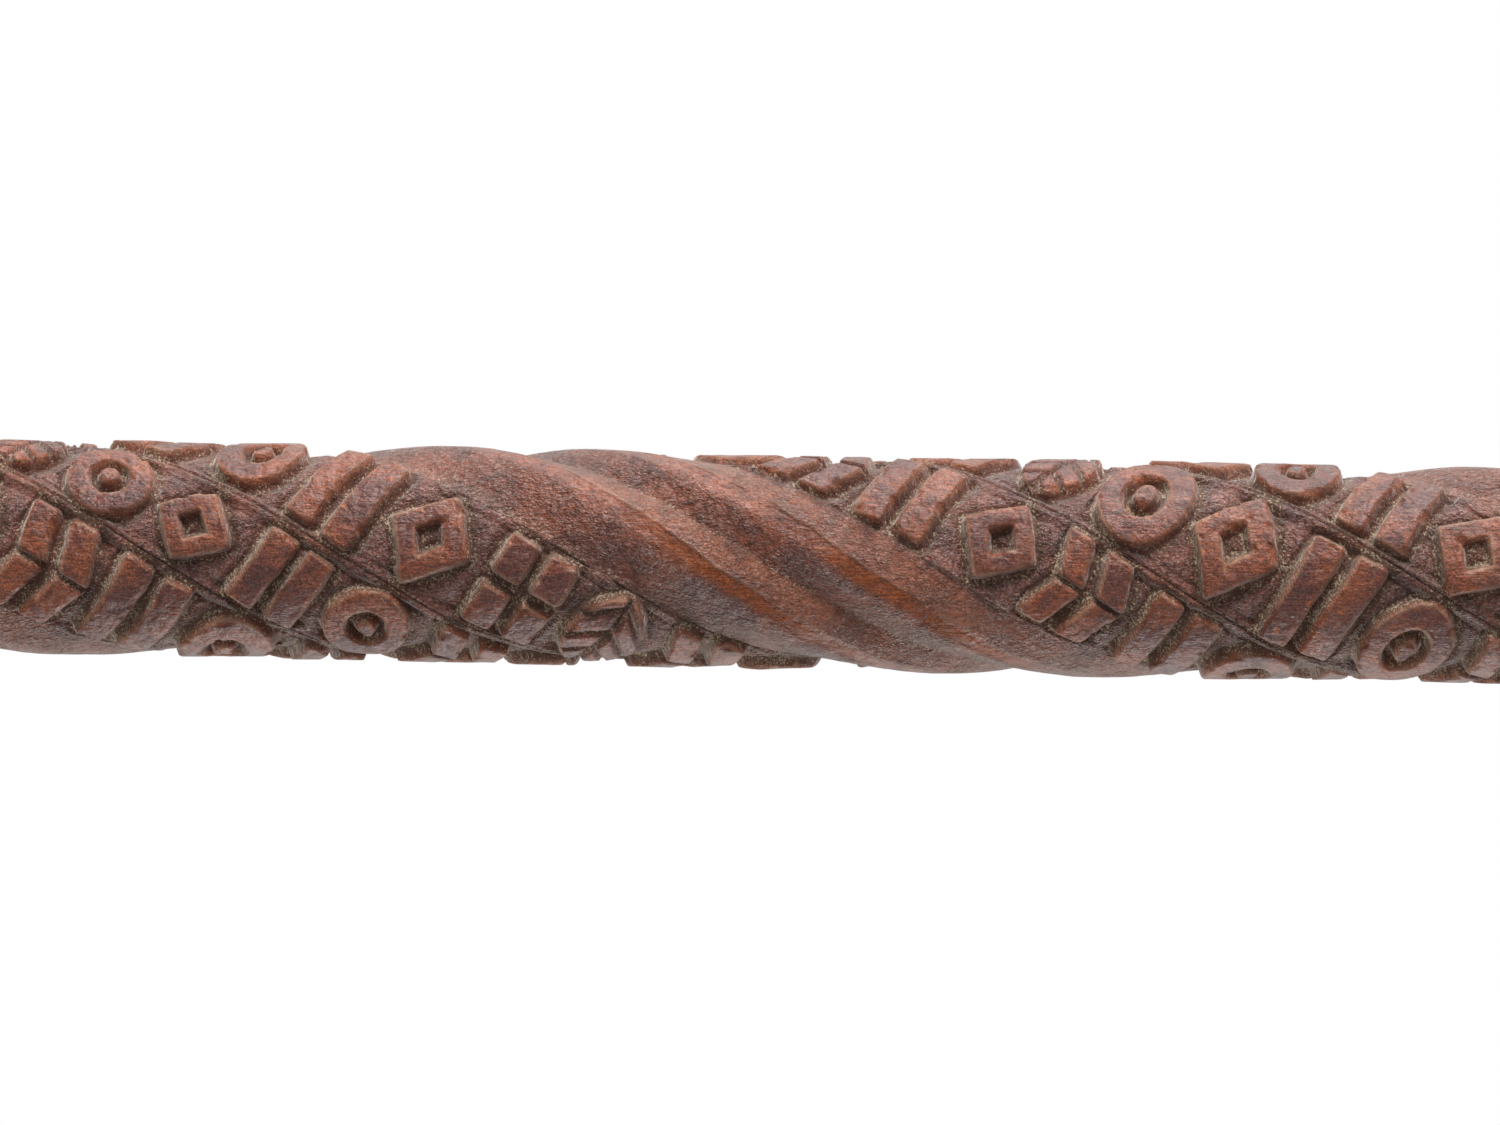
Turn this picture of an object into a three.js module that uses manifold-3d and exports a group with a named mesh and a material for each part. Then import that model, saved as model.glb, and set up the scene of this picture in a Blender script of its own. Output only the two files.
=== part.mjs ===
// A carved walking stick: a twisted hardwood shaft, relief-carved in three rows beside a ridged
// band, with a turned knob, a brass collar and a shod foot. Millimetres, +Z up, with the origin at
// the centre of the flat face that meets the ground.
import * as THREE from 'three';
import { mergeVertices } from 'three/addons/utils/BufferGeometryUtils.js';
import Module from 'manifold-3d';

const wasm = await Module();
wasm.setup();

// Stick
const overall_length = 900;
const fit_gap = 0.3; // between a piece and the one that it fits into
const overrun = 1; // how far a cutter runs past what it cuts

// Shaft
const shaft_top_d = 28.1; // across the raised work
const shaft_foot_d = 23;
const taper_power = 3; // how late the taper sets in, going down
const carving_start = 206; // above the ground
const neck_length = 21; // plain, between the carving and the collar
const relief_depth = 1.85; // from the raised work down to the ground of a row
const groove_depth = 1.75; // between the two crests of the plain band
const end_bead_width = 5;
const end_bead_rise = 0.9;
const end_bead_land = 0.3; // how far the bead's edge stands over the raised work
const foot_chamfer = 1.2;

// Twist
const lead = 132; // rise in one turn, right-handed
const twist_datum_height = 594.3; // where the third row ends and the plain band begins, at the front
const twist_datum_angle = -Math.PI / 2; // the front
const band_share = 0.342; // of a turn, the plain ridged band
const cells_per_lead = 12; // motifs along a row in one turn

// What each row repeats
const row_motifs = [
  ['bars', 'ring', 'herringbone', 'bars', 'lozenge', 'herringbone'],
  ['lozenge', 'bars', 'ring', 'herringbone', 'leaf', 'ring'],
  ['ring', 'bars', 'lozenge', 'bars', 'leaf', 'herringbone'],
];

// Knob
const knob_d = 42;
const knob_neck_d = 25;
const knob_bead_d = 31;
const knob_bead_width = 4;
const knob_bead_rise = 1.3;
const knob_neck_length = 2.7; // from the bead to the narrowest part
const knob_swell_length = 25; // from there to the widest part
const knob_crown_length = 25; // from there to the top
const knob_top_flat_d = 14;

// Collar
const collar_stand = 0.65; // of its outside over the shaft
const collar_wall = 1;
const collar_height = 16;
const collar_bead_r = 0.7;

// Screw between the knob and the shaft
const screw_d = 8;
const screw_length = 52;
const screw_point_length = 9;
const screw_point_d = 1.6;

// Ferrule
const ferrule_tip_d = 18;
const ferrule_stand = 0.4; // of its mouth over the shaft
const ferrule_length = 42;
const ferrule_wall = 0.9;
const ferrule_bead_r = 0.7;

// Heel
const heel_flange = 1.5; // under the ferrule's lower edge
const heel_thickness = 5;
const heel_edge_round = 0.6;
const heel_tang_d = 5;
const heel_tang_length = 14;

// Pins
const pin_d = 1.5;
const pin_head_d = 2.8;
const pin_head_height = 0.7;
const pin_depth = 4; // into the wood
const pin_seat = 0.12; // under the head
const blunt_share = 0.5; // of a tip's radius to its shank's
const collar_pin_height_share = 0.25; // of the collar, from its lower edge
const ferrule_pin_height_share = 0.78; // of the ferrule, from its lower edge
const pins_per_ring = 2;

// Steps round and along
const round_steps = 24;
const small_steps = 10;
const bead_steps = 4;
const knob_steps = 6;

// A shape turned about the Z axis from pairs of radius and height. The pairs run up the outside.
function turned(profile, steps = round_steps) {
  const points = profile.map(([radius, height]) => new THREE.Vector2(radius, height));
  return new THREE.LatheGeometry(points, steps).rotateX(Math.PI / 2);
}

// A closed geometry as a solid that can be joined and cut.
function solid_of(geometry) {
  const bare = geometry.clone();
  bare.deleteAttribute('normal');
  bare.deleteAttribute('uv');
  const merged = mergeVertices(bare);
  const corners = merged.index.array;
  const triangles = [];
  for (let i = 0; i < corners.length; i += 3) {
    const [a, b, c] = corners.slice(i, i + 3);
    if (a !== b && b !== c && c !== a) triangles.push(a, b, c);
  }
  return new wasm.Manifold(new wasm.Mesh({
    numProp: 3,
    vertProperties: merged.getAttribute('position').array,
    triVerts: new Uint32Array(triangles),
  }));
}

function geometry_of(solid) {
  const mesh = solid.getMesh();
  const geometry = new THREE.BufferGeometry();
  geometry.setAttribute('position', new THREE.BufferAttribute(mesh.vertProperties, 3));
  geometry.setIndex(new THREE.BufferAttribute(mesh.triVerts, 1));
  geometry.computeVertexNormals();
  return geometry;
}

// Points of an arc about a centre, both ends included.
function arc(centre_r, centre_z, radius, from, to, rise = radius, steps = bead_steps) {
  return Array.from({ length: steps + 1 }, (_, i) => {
    const angle = from + ((to - from) * i) / steps;
    return [centre_r + rise * Math.cos(angle), centre_z + radius * Math.sin(angle)];
  });
}

const QUARTER = Math.PI / 2;

// Heights. The knob's joint is at the middle of the collar.
const knob_bead_top = collar_height / 2 + fit_gap + knob_bead_width; // above the joint
const joint_height =
  overall_length - knob_crown_length - knob_swell_length - knob_neck_length - knob_bead_top;
const collar_bottom = joint_height - collar_height / 2;
const collar_top = joint_height + collar_height / 2;
const carving_end = collar_bottom - neck_length;
const ferrule_top = heel_flange + ferrule_length;

// The shaft swells quickly above the foot and is nearly straight towards the top.
function outer_radius(z) {
  const down_share = THREE.MathUtils.clamp((joint_height - z) / (joint_height - ferrule_top), 0, 1);
  return (shaft_top_d - (shaft_top_d - shaft_foot_d) * down_share ** taper_power) / 2;
}

const ferrule_mouth_d = shaft_foot_d + 2 * ferrule_stand;

function ferrule_outer_radius(z) {
  const up_share = (z - heel_flange) / ferrule_length;
  return (ferrule_tip_d + (ferrule_mouth_d - ferrule_tip_d) * up_share) / 2;
}

function ferrule_inner_radius(z) {
  return ferrule_outer_radius(z) - ferrule_wall;
}

const collar_outer_radius = shaft_top_d / 2 + collar_stand;
const collar_inner_radius = collar_outer_radius - collar_wall;
const rebate_radius = collar_inner_radius - fit_gap;

// The carved stretch is a lattice on the shaft. A phase of 0 to 1 counts once round the section,
// against the twist: first the plain band, then the rows. Cells count along each row.
const cell_rise = lead / cells_per_lead;
const row_share = (1 - band_share) / row_motifs.length;
const half_share = 0.5; // of a cell, between two points of the lattice

// The cross lines of the rows stand square to the rows, and lean by this many cells in one turn.
const mean_girth = Math.PI * (shaft_top_d - relief_depth);
const square_lean = (lead * mean_girth ** 2) / (mean_girth ** 2 + lead ** 2) / cell_rise;
const rows_lean = square_lean * (1 - band_share);

// Across the plain band they fall back, so that a whole number of cells is climbed in one turn.
const seam_cells = Math.max(1, Math.round(square_lean));

function lean(phase) {
  if (phase > band_share) return square_lean * (phase - band_share);
  return (rows_lean - seam_cells) * (1 - phase / band_share);
}

function on_shaft(phase, cell, depth) {
  const z = twist_datum_height + (cell + lean(phase)) * cell_rise;
  const turns = (z - twist_datum_height) / lead - phase;
  const angle = twist_datum_angle + 2 * Math.PI * turns;
  const radius = outer_radius(z) - depth;
  return new THREE.Vector3(radius * Math.cos(angle), radius * Math.sin(angle), z);
}

// The plain band from the third row to the first: a broad swell with a hollow before the first crest,
// a narrow groove, and a second swell up to the second crest. Each pair is a share of the band's width
// and a share of the relief's depth.
const first_swell_shares = [[0, 1], [0.1, 0.46], [0.2, 0.24], [0.32, 0.13], [0.39, 0]];
const second_swell_shares = [[0.6, 0.38], [0.78, 0], [1, 1]];
const groove_place_share = 0.5;

const swell_sides = (shares) => shares.map(([place, depth]) => ({ place, depth: depth * relief_depth }));
const band_section = [
  ...swell_sides(first_swell_shares),
  { place: groove_place_share, depth: groove_depth },
  ...swell_sides(second_swell_shares),
];

// A cell of a row is made of patches. Each patch is a frame on the ground and the outline of the
// raised motif inside it, both anticlockwise. Each point is a share of the cell along the row and a
// share of the row across it.
const whole_frame_shares = [[0, 0], [0.5, 0], [1, 0], [1, 0.5], [1, 1], [0.5, 1], [0, 1], [0, 0.5]];
const motif_patch_shares = {
  lozenge: [{
    frame: whole_frame_shares,
    outline: [
      [0.04, 0.5], [0.27, 0.27], [0.5, 0.04], [0.73, 0.27],
      [0.96, 0.5], [0.73, 0.73], [0.5, 0.96], [0.27, 0.73],
    ],
  }],
  ring: [{
    frame: whole_frame_shares,
    outline: [
      [0.05, 0.5], [0.17, 0.17], [0.5, 0.04], [0.83, 0.17],
      [0.95, 0.5], [0.83, 0.83], [0.5, 0.96], [0.17, 0.83],
    ],
  }],
  leaf: [{
    frame: whole_frame_shares,
    outline: [[0.14, 0.35], [0.5, 0.03], [0.86, 0.35], [0.86, 0.65], [0.5, 0.97], [0.14, 0.65]],
  }],
  bars: [{
    frame: [[0, 0], [0.5, 0], [0.5, 0.5], [0.5, 1], [0, 1], [0, 0.5]],
    outline: [[0.09, 0.05], [0.41, 0.05], [0.41, 0.5], [0.41, 0.95], [0.09, 0.95], [0.09, 0.5]],
  }, {
    frame: [[0.5, 0], [1, 0], [1, 0.5], [1, 1], [0.5, 1], [0.5, 0.5]],
    outline: [[0.59, 0.05], [0.91, 0.05], [0.91, 0.5], [0.91, 0.95], [0.59, 0.95], [0.59, 0.5]],
  }],
  herringbone: [{
    frame: [[0, 0], [0.5, 0], [0.58, 0.5], [0.5, 1], [0, 1], [0, 0.5]],
    outline: [[0.04, 0.05], [0.33, 0.05], [0.49, 0.5], [0.33, 0.95], [0.04, 0.95], [0.2, 0.5]],
  }, {
    frame: [[0.5, 0], [1, 0], [1, 0.5], [1, 1], [0.5, 1], [0.58, 0.5]],
    outline: [[0.52, 0.05], [0.8, 0.05], [0.96, 0.5], [0.8, 0.95], [0.52, 0.95], [0.68, 0.5]],
  }],
};

function mean_of(points) {
  const sums = points.reduce(([x, y], point) => [x + point[0], y + point[1]], [0, 0]);
  return sums.map((sum) => sum / points.length);
}

// Triangles between a loop of points and a smaller one inside it, in step round a shared middle.
function strip_between(outer, inner) {
  const middle = mean_of(inner);
  const bearing = (point) => Math.atan2(point[1] - middle[1], point[0] - middle[0]);
  const round = (points) => [...points].sort((a, b) => bearing(a) - bearing(b));
  const out = round(outer);
  const into = round(inner);
  const at = (loop, i) => loop[i % loop.length];
  const reached = (loop, i) => bearing(at(loop, i)) + (i < loop.length ? 0 : 2 * Math.PI);
  const triangles = [];
  let i = 0;
  let j = 0;
  while (i < out.length || j < into.length) {
    const outer_next = j === into.length || (i < out.length && reached(out, i + 1) <= reached(into, j + 1));
    if (outer_next) {
      triangles.push([at(out, i), at(out, i + 1), at(into, j)]);
      i += 1;
    } else {
      triangles.push([at(out, i), at(into, j + 1), at(into, j)]);
      j += 1;
    }
  }
  return triangles;
}

// One cell of a row: its ground, and the walls and top of its motif.
function add_cell(triangles, row, cell) {
  const carve = (shape, depth) =>
    shape.map(([along, across]) => on_shaft(band_share + (row + across) * row_share, cell + along, depth));
  const names = row_motifs[row];
  const name = names[THREE.MathUtils.euclideanModulo(cell, names.length)];
  for (const { frame, outline } of motif_patch_shares[name]) {
    for (const piece of strip_between(frame, outline)) triangles.push(carve(piece, relief_depth));
    const foot = carve(outline, relief_depth);
    const top = carve(outline, 0);
    const [crown] = carve([mean_of(outline)], 0);
    outline.forEach((_, i) => {
      const j = (i + 1) % outline.length;
      triangles.push([foot[i], foot[j], top[j]], [foot[i], top[j], top[i]], [top[i], top[j], crown]);
    });
  }
}

// One cell's length of the plain band, in two steps along it.
function add_band(triangles, cell) {
  for (const start of [0, half_share]) {
    for (let i = 1; i < band_section.length; i += 1) {
      const corner = (side, along) => on_shaft(side.place * band_share, cell + along, side.depth);
      const [near, far] = [band_section[i - 1], band_section[i]];
      const a = corner(near, start);
      const b = corner(near, start + half_share);
      const c = corner(far, start + half_share);
      const d = corner(far, start);
      triangles.push([a, b, c], [a, c, d]);
    }
  }
}

// The edge of the lattice at one cell line, once round: the cross line, then back along the seam.
function lattice_edge(cell) {
  const edge = band_section.slice(0, -1).map((side) => on_shaft(side.place * band_share, cell, side.depth));
  for (let row = 0; row < row_motifs.length; row += 1) {
    for (const across of [0, half_share]) {
      edge.push(on_shaft(band_share + (row + across) * row_share, cell, relief_depth));
    }
  }
  for (let back = seam_cells; back > 0; back -= half_share) {
    edge.push(on_shaft(0, cell + back, relief_depth));
  }
  return edge;
}

// The carved stretch alone, a little longer than it shows, with flat ends.
function carved_core() {
  const low = carving_start - overrun;
  const high = carving_end + overrun;
  const first = Math.floor((low - twist_datum_height) / cell_rise - rows_lean);
  const last = Math.ceil((high - twist_datum_height) / cell_rise + seam_cells - rows_lean);
  const triangles = [];
  for (let cell = first; cell < last; cell += 1) {
    add_band(triangles, cell);
    for (let row = 0; row < row_motifs.length; row += 1) add_cell(triangles, row, cell);
  }
  const close = (cell, flip) => {
    const edge = lattice_edge(cell);
    const heights = edge.map((point) => point.z);
    const centre = new THREE.Vector3(0, 0, flip ? Math.max(...heights) : Math.min(...heights));
    edge.forEach((point, i) => {
      const next = edge[(i + 1) % edge.length];
      triangles.push(flip ? [centre, next, point] : [centre, point, next]);
    });
  };
  close(first, false);
  close(last, true);
  const geometry = new THREE.BufferGeometry();
  geometry.setFromPoints(triangles.flat());
  geometry.setIndex(triangles.flat().map((_, i) => i));
  const zone = turned([[0, low], [shaft_top_d, low], [shaft_top_d, high], [0, high]], small_steps);
  return solid_of(geometry).intersect(solid_of(zone));
}

// The turned foot: a tenon for the ferrule, a plain tapered stretch, and the bead below the carving.
function shaft_foot() {
  const shoulder = ferrule_top + fit_gap;
  const tenon_radius = (z) => ferrule_inner_radius(z) - fit_gap;
  const bead_base = outer_radius(carving_start) + end_bead_land;
  const bead_middle = carving_start - end_bead_width / 2;
  const plain_top = carving_start - end_bead_width;
  const plain_steps = 4;
  const plain = Array.from({ length: plain_steps + 1 }, (_, i) => {
    const z = shoulder + foot_chamfer + ((plain_top - shoulder - foot_chamfer) * i) / plain_steps;
    return [outer_radius(z), z];
  });
  return solid_of(turned([
    [0, heel_thickness],
    [tenon_radius(heel_thickness), heel_thickness],
    [tenon_radius(shoulder), shoulder],
    [outer_radius(shoulder) - foot_chamfer / 2, shoulder],
    ...plain,
    ...arc(bead_base, bead_middle, end_bead_width / 2, -QUARTER, QUARTER, end_bead_rise),
    [0, carving_start],
  ]));
}

// The turned neck: the bead above the carving, a short plain stretch, and the rebate for the collar.
function shaft_neck() {
  const bead_base = outer_radius(carving_end) + end_bead_land;
  const bead_middle = carving_end + end_bead_width / 2;
  return solid_of(turned([
    [0, carving_end],
    ...arc(bead_base, bead_middle, end_bead_width / 2, -QUARTER, QUARTER, end_bead_rise),
    [outer_radius(carving_end + end_bead_width), carving_end + end_bead_width],
    [outer_radius(collar_bottom), collar_bottom - fit_gap],
    [rebate_radius, collar_bottom - fit_gap],
    [rebate_radius, joint_height],
    [0, joint_height],
  ]));
}

// A bore along the axis between two heights.
function bore(diameter, low, high) {
  const radius = diameter / 2 + fit_gap;
  return solid_of(turned([[0, low], [radius, low], [radius, high], [0, high]], small_steps));
}

// Pins stand square to the axis: a ring of them at one height, on a surface of one radius.
const collar_pins = {
  height: collar_bottom + collar_height * collar_pin_height_share,
  surface: collar_outer_radius,
  wood: rebate_radius,
};
const ferrule_pin_z = heel_flange + ferrule_length * ferrule_pin_height_share;
const ferrule_pins = {
  height: ferrule_pin_z,
  surface: ferrule_outer_radius(ferrule_pin_z),
  wood: ferrule_inner_radius(ferrule_pin_z) - fit_gap,
};

function pin_angle(i) {
  return (2 * Math.PI * i) / pins_per_ring;
}

function pin_holes(ring) {
  const radius = pin_d / 2 + fit_gap;
  const inner = ring.wood - pin_depth - fit_gap;
  const outer = ring.surface + overrun;
  const holes = Array.from({ length: pins_per_ring }, (_, i) => {
    const hole = turned([[0, inner], [radius, inner], [radius, outer], [0, outer]], small_steps);
    return solid_of(hole.rotateY(QUARTER).rotateZ(pin_angle(i)).translate(0, 0, ring.height));
  });
  return holes.reduce((all, hole) => all.add(hole));
}

function pin_geometry(ring) {
  const head = ring.surface + pin_seat;
  const inner = ring.wood - pin_depth;
  return turned([
    [0, inner],
    [(pin_d / 2) * blunt_share, inner],
    [pin_d / 2, inner + pin_d],
    [pin_d / 2, head],
    ...arc(0, head, pin_head_height, 0, QUARTER, pin_head_d / 2),
  ], small_steps);
}

function shaft_geometry() {
  const tang_bore = bore(heel_tang_d, heel_thickness - overrun, heel_thickness + heel_tang_length + fit_gap);
  const screw_bore = bore(screw_d, joint_height - screw_length / 2 - fit_gap, joint_height + overrun);
  return geometry_of(
    carved_core()
      .add(shaft_foot())
      .add(shaft_neck())
      .subtract(tang_bore)
      .subtract(screw_bore)
      .subtract(pin_holes(collar_pins))
      .subtract(pin_holes(ferrule_pins)),
  );
}

// Knob: a rebate inside the collar, a bead, a narrow neck, and a round head with a small flat.
function knob_geometry() {
  const bead_z = joint_height + knob_bead_top - knob_bead_width / 2;
  const neck_z = joint_height + knob_bead_top + knob_neck_length;
  const widest_z = neck_z + knob_swell_length;
  const crown_start = Math.acos(knob_top_flat_d / knob_d);
  const swell = Array.from({ length: knob_steps }, (_, i) => {
    const share = (i + 1) / (knob_steps + 1);
    const out = (1 - Math.cos(Math.PI * share)) / 2;
    return [(knob_neck_d + (knob_d - knob_neck_d) * out) / 2, neck_z + knob_swell_length * share];
  });
  const crown_rise = knob_crown_length / Math.sin(crown_start);
  const crown = arc(0, widest_z, crown_rise, 0, crown_start, knob_d / 2, knob_steps);
  const knob = solid_of(turned([
    [0, joint_height],
    [rebate_radius, joint_height],
    [rebate_radius, collar_top + fit_gap],
    ...arc(knob_bead_d / 2 - knob_bead_rise, bead_z, knob_bead_width / 2, -QUARTER, QUARTER, knob_bead_rise),
    [knob_neck_d / 2, neck_z],
    ...swell,
    ...crown,
    [0, overall_length],
  ]));
  const screw_bore = bore(screw_d, joint_height - overrun, joint_height + screw_length / 2 + fit_gap);
  return geometry_of(knob.subtract(screw_bore));
}

// Screw: a headless double-ended wood screw, pointed at both ends.
function screw_geometry() {
  const low = joint_height - screw_length / 2;
  const high = joint_height + screw_length / 2;
  return turned([
    [0, low],
    [screw_point_d / 2, low],
    [screw_d / 2, low + screw_point_length],
    [screw_d / 2, high - screw_point_length],
    [screw_point_d / 2, high],
    [0, high],
  ], small_steps);
}

// Collar: a tube wall with a bead round each edge, closed on itself.
function collar_geometry() {
  const edge_bead = (z) => arc(collar_outer_radius, z, collar_bead_r, -QUARTER, QUARTER);
  const ring = turned([
    [collar_inner_radius, collar_bottom],
    ...edge_bead(collar_bottom + collar_bead_r),
    ...edge_bead(collar_top - collar_bead_r),
    [collar_inner_radius, collar_top],
    [collar_inner_radius, collar_bottom],
  ]);
  return geometry_of(solid_of(ring).subtract(pin_holes(collar_pins)));
}

// Ferrule: a tapered tube wall with a bead round its mouth.
function ferrule_geometry() {
  const bead_z = ferrule_top - ferrule_bead_r;
  const tube = turned([
    [ferrule_inner_radius(heel_flange), heel_flange],
    [ferrule_outer_radius(heel_flange), heel_flange],
    ...arc(ferrule_outer_radius(bead_z), bead_z, ferrule_bead_r, -QUARTER, QUARTER),
    [ferrule_inner_radius(ferrule_top), ferrule_top],
    [ferrule_inner_radius(heel_flange), heel_flange],
  ]);
  return geometry_of(solid_of(tube).subtract(pin_holes(ferrule_pins)));
}

// Heel: a flange under the ferrule's edge, a disc inside it, and a tang up into the wood.
function heel_geometry() {
  const flange = ferrule_tip_d / 2;
  const disc = ferrule_inner_radius(heel_flange) - fit_gap;
  const tang_top = heel_thickness + heel_tang_length;
  return turned([
    [0, 0],
    ...arc(flange - heel_edge_round, heel_edge_round, heel_edge_round, -QUARTER, 0),
    [flange, heel_flange],
    [disc, heel_flange],
    [disc, heel_thickness],
    [heel_tang_d / 2, heel_thickness],
    [heel_tang_d / 2, tang_top - heel_tang_d / 2],
    [(heel_tang_d / 2) * blunt_share, tang_top],
    [0, tang_top],
  ]);
}

const carved_wood = { color: 0x7a5540, roughness: 0.45, metalness: 0 };
const knob_wood = { color: 0x6b4029, roughness: 0.35, metalness: 0 };
const brass = { color: 0xa8843f, roughness: 0.4, metalness: 1 };
const iron = { color: 0x4a4542, roughness: 0.6, metalness: 1 };
const steel = { color: 0x8c8c8a, roughness: 0.4, metalness: 1 };

const stick = new THREE.Group();

function add_piece(name, geometry, finish) {
  const piece = new THREE.Mesh(geometry, new THREE.MeshStandardMaterial(finish));
  piece.name = name;
  stick.add(piece);
  return piece;
}

function add_pins(name, ring) {
  for (let i = 0; i < pins_per_ring; i += 1) {
    const pin = add_piece(`${name}_${i + 1}`, pin_geometry(ring).rotateY(QUARTER), brass);
    pin.rotation.z = pin_angle(i);
    pin.position.z = ring.height;
  }
}

add_piece('shaft', shaft_geometry(), carved_wood);
add_piece('handle', knob_geometry(), knob_wood);
add_piece('handle_screw', screw_geometry(), steel);
add_piece('collar', collar_geometry(), brass);
add_pins('collar_pin', collar_pins);
add_piece('ferrule', ferrule_geometry(), brass);
add_pins('ferrule_pin', ferrule_pins);
add_piece('ferrule_heel', heel_geometry(), iron);

export default stick;
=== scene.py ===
import itertools
import math
from types import SimpleNamespace

import bpy
import numpy as np
from mathutils import Matrix, Vector


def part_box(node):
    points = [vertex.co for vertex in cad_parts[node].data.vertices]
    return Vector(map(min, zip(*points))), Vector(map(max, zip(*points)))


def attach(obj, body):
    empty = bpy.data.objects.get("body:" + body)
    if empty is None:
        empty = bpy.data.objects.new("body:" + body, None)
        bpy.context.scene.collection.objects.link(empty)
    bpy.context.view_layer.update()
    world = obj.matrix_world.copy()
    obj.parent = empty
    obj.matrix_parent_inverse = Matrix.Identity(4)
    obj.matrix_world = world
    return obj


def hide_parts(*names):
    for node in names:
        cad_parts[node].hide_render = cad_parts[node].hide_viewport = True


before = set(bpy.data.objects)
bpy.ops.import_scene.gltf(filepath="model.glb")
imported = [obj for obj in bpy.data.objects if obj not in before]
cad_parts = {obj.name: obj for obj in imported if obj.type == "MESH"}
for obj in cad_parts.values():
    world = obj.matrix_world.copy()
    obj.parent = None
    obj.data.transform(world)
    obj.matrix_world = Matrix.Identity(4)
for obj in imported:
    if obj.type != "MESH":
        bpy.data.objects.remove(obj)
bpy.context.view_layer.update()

# Lengths here are in millimetres, and become metres where a mesh is made.
MM = 0.001
BODY = "root"
QUARTER = math.pi / 2


def height_range(node):
    """A CAD node's lowest and highest places."""
    low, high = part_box(node)
    return low.z / MM, high.z / MM


def widest_radius(node):
    """How far a turned CAD node reaches from the axis."""
    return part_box(node)[1].x / MM


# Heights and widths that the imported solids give
tenon_bottom, joint_height = height_range("shaft")
collar_bottom, collar_top = height_range("collar")
heel_flange, ferrule_top = height_range("ferrule")
knob_d = 2 * widest_radius("handle")

# Shaft, as in the solids
fit_gap = 0.3
shaft_top_d = 28.1
shaft_foot_d = 23
taper_power = 3
carving_start = 206
neck_length = 21
carving_end = collar_bottom - neck_length
relief_depth = 1.85
groove_depth = 1.75
end_bead_width = 5
end_bead_rise = 0.9
end_bead_land = 0.3
end_bead_wear = 0.35
bare_relief = 0.3
foot_chamfer = 1.2

# Twist, as in the solids
lead = 132
twist_datum_height = 594.3
band_share = 0.342
cells_per_lead = 12
cell_rise = lead / cells_per_lead
row_motifs = [
    ["bars", "ring", "herringbone", "bars", "lozenge", "herringbone"],
    ["lozenge", "bars", "ring", "herringbone", "leaf", "ring"],
    ["ring", "bars", "lozenge", "studs", "leaf", "herringbone"],
]
row_share = (1 - band_share) / len(row_motifs)
mean_girth = math.pi * (shaft_top_d - relief_depth)
square_lean = lead * mean_girth**2 / (mean_girth**2 + lead**2) / cell_rise
rows_lean = square_lean * (1 - band_share)
seam_cells = max(1, round(square_lean))

# Lengths along the surface that one cell and one row take up
helix_length = math.hypot(lead, mean_girth)
cell_length = cell_rise * helix_length / lead
phase_width = lead * mean_girth / helix_length
row_width = row_share * phase_width
band_width = band_share * phase_width

# Fineness of the carved mesh. The photographed stretch is finer than the rest.
columns = 360
fine_step = 0.26
coarse_step = 0.42
fine_from, fine_to = 512, 720
foot_rings, neck_rings, bead_rings = 70, 10, 17

# Camera: the photograph is a close-up of the shaft, which lies across the picture
shown_length = 192.8
shown_middle = 616.4
shown_offset = 0.19
shown_tilt = math.radians(1.2)
lens = 150
sensor = 36
nearest_seen, farthest_seen = 0.01, 100


def outer_radius(z):
    """The shaft's radius across the raised work, which swells quickly above the foot."""
    down = np.clip((joint_height - z) / (joint_height - ferrule_top), 0, 1)
    return (shaft_top_d - (shaft_top_d - shaft_foot_d) * down**taper_power) / 2


# Noise in the carving: each use has the size of its features, and a seed
NOISE_CELLS = 64
WAVER_ALONG = (6.0, 21)
WAVER_ACROSS = (6.0, 23)
FRAYED_OUTLINE = (0.9, 22)
WALL_SLOPE = (2.7, 31)
GOUGES = (3.4, 32)
SCOOPS = (1.7, 33)
TOP_RIPPLE = (2.6, 34)
CHIPS = (1.5, 35)
RIM_BREAKS = (3.1, 36)
RIB_HEIGHT = (9.0, 41)
BAND_WANDER = (11.0, 51)
BAND_FACETS = (3.2, 52)
BAND_ROUGHNESS = (1.1, 53)
CREST_WANDER = (4.0, 54)
WEAR_PATCHES = (8.0, 55)
CREST_RIM_BREAKS = (5.0, 56)
PLANE_MARKS = (6.0, 61)


def noise(spots, use):
    """Smooth noise from -1 to 1 at points."""
    size, seed = use
    table = np.random.default_rng(seed).uniform(-1, 1, (NOISE_CELLS,) * 3)
    at = spots / size
    base = np.floor(at).astype(int)
    part = at - base
    part = part * part * (3 - 2 * part)
    total = np.zeros(spots.shape[:-1])
    for corner in itertools.product((0, 1), repeat=3):
        x, y, z = np.moveaxis((base + corner) % NOISE_CELLS, -1, 0)
        total += np.prod(np.where(corner, part, 1 - part), axis=-1) * table[x, y, z]
    return total


def smooth(value):
    """A soft step from 0 to 1."""
    value = np.clip(value, 0, 1)
    return value * value * (3 - 2 * value)


def bump(value):
    """A soft hump: 1 at 0, and 0 beyond 1 on either side."""
    return smooth(1 - np.abs(value))


# The plain band: two strands side by side. Each swells to a worn top that ends in a crest, with a
# face beyond it that falls to the groove, or to the edge of the rows.
first_top_share = 0.29
first_crest_share = 0.366
groove_share = 0.52
second_top_share = 0.72
second_crest_share = 0.803
swell_power = 1.05
far_rise, far_rise_reach = 0.55, 3.0
crest_drop = 0.08
crest_round = 0.16
section_places = 600
band_lag = 1.2
band_lag_height = 572
band_wander, crest_wander = 0.22, 0.3
facet_depth, facet_stretch = 0.1, (1, 1, 0.35)
band_roughness = 0.03

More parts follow.
